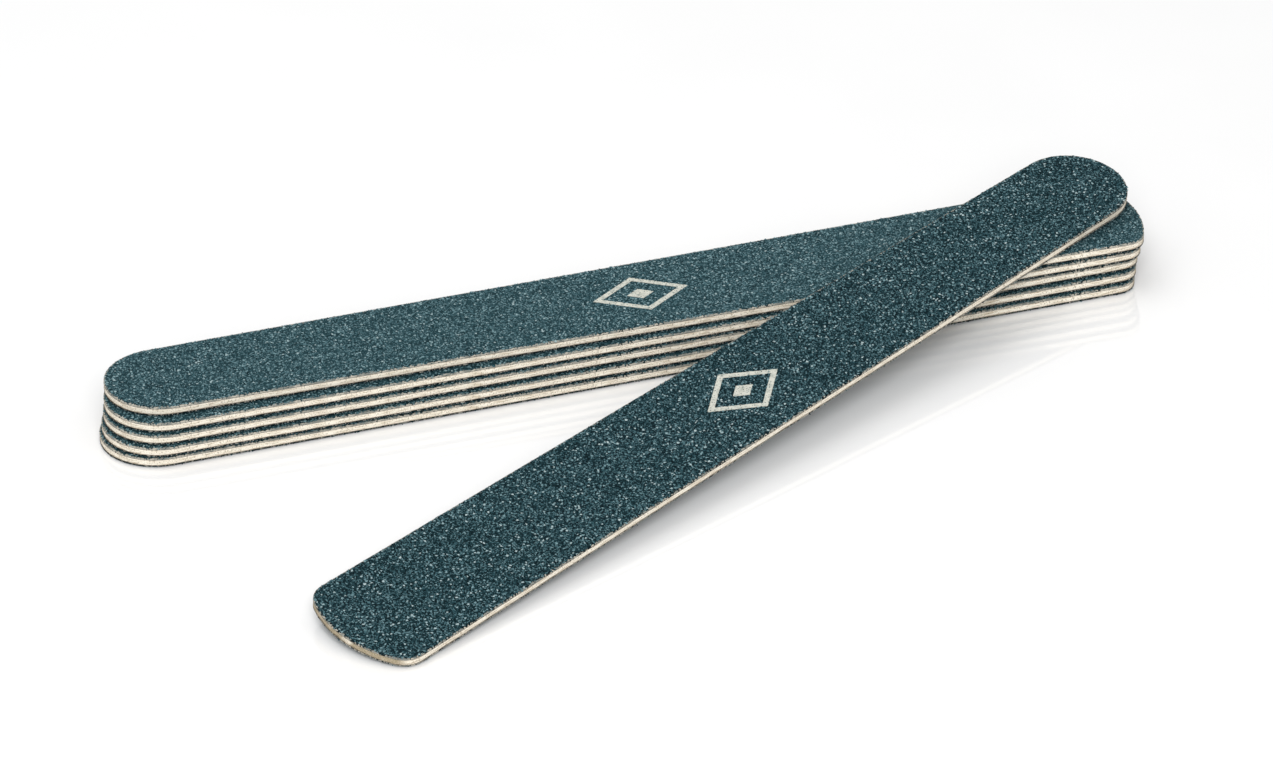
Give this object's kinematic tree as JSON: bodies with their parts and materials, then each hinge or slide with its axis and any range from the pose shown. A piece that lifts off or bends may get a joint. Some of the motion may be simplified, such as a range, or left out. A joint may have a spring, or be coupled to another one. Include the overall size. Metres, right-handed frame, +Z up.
{
  "type": "emery boards",
  "caption": "Long flat nail files with dark grit on both faces and a pale wooden core, tapered, round at one end: a loose stack with one file leaning across it.",
  "frame": {"origin": "middle of the base board's underside, on the surface the files lie on", "axes": "+X along the base board towards its wide end, +Y away from the leaning board's foot, +Z up"},
  "size_m": [0.1798, 0.091, 0.0141],
  "materials": {
    "abrasive_paper": "dark blue-green grit on coated paper, matt, with glinting grains",
    "wood_core": "raw pale wood, cut edge, matt",
    "glue": "dry clear glue, matt",
    "ink": "pale screen-printed ink over grit, matt"
  },
  "bodies": {
    "base_board": {"base_board_lower_abrasive_sheet": "abrasive_paper", "base_board_lower_glue_film": "glue", "base_board_core": "wood_core", "base_board_upper_glue_film": "glue", "base_board_upper_abrasive_sheet": "abrasive_paper", "base_board_printed_mark": "ink"},
    "second_board": {"second_board_lower_abrasive_sheet": "abrasive_paper", "second_board_lower_glue_film": "glue", "second_board_core": "wood_core", "second_board_upper_glue_film": "glue", "second_board_upper_abrasive_sheet": "abrasive_paper", "second_board_printed_mark": "ink"},
    "third_board": {"third_board_lower_abrasive_sheet": "abrasive_paper", "third_board_lower_glue_film": "glue", "third_board_core": "wood_core", "third_board_upper_glue_film": "glue", "third_board_upper_abrasive_sheet": "abrasive_paper", "third_board_printed_mark": "ink"},
    "fourth_board": {"fourth_board_lower_abrasive_sheet": "abrasive_paper", "fourth_board_lower_glue_film": "glue", "fourth_board_core": "wood_core", "fourth_board_upper_glue_film": "glue", "fourth_board_upper_abrasive_sheet": "abrasive_paper", "fourth_board_printed_mark": "ink"},
    "top_board": {"top_board_lower_abrasive_sheet": "abrasive_paper", "top_board_lower_glue_film": "glue", "top_board_core": "wood_core", "top_board_upper_glue_film": "glue", "top_board_upper_abrasive_sheet": "abrasive_paper", "top_board_printed_mark": "ink"},
    "leaning_board": {"leaning_board_lower_abrasive_sheet": "abrasive_paper", "leaning_board_lower_glue_film": "glue", "leaning_board_core": "wood_core", "leaning_board_upper_glue_film": "glue", "leaning_board_upper_abrasive_sheet": "abrasive_paper", "leaning_board_printed_mark": "ink"}
  },
  "joints": [
    {"name": "second_board_lift", "type": "slide", "parent": "base_board", "child": "second_board", "axis": [0, 0, 1], "range_m": [0, 0.03]},
    {"name": "third_board_lift", "type": "slide", "parent": "second_board", "child": "third_board", "axis": [0, 0, 1], "range_m": [0, 0.03]},
    {"name": "fourth_board_lift", "type": "slide", "parent": "third_board", "child": "fourth_board", "axis": [0, 0, 1], "range_m": [0, 0.03]},
    {"name": "top_board_lift", "type": "slide", "parent": "fourth_board", "child": "top_board", "axis": [0, 0, 1], "range_m": [0, 0.03]},
    {"name": "leaning_board_lift", "type": "slide", "parent": "top_board", "child": "leaning_board", "axis": [0, 0, 1], "range_m": [0, 0.03]}
  ]
}
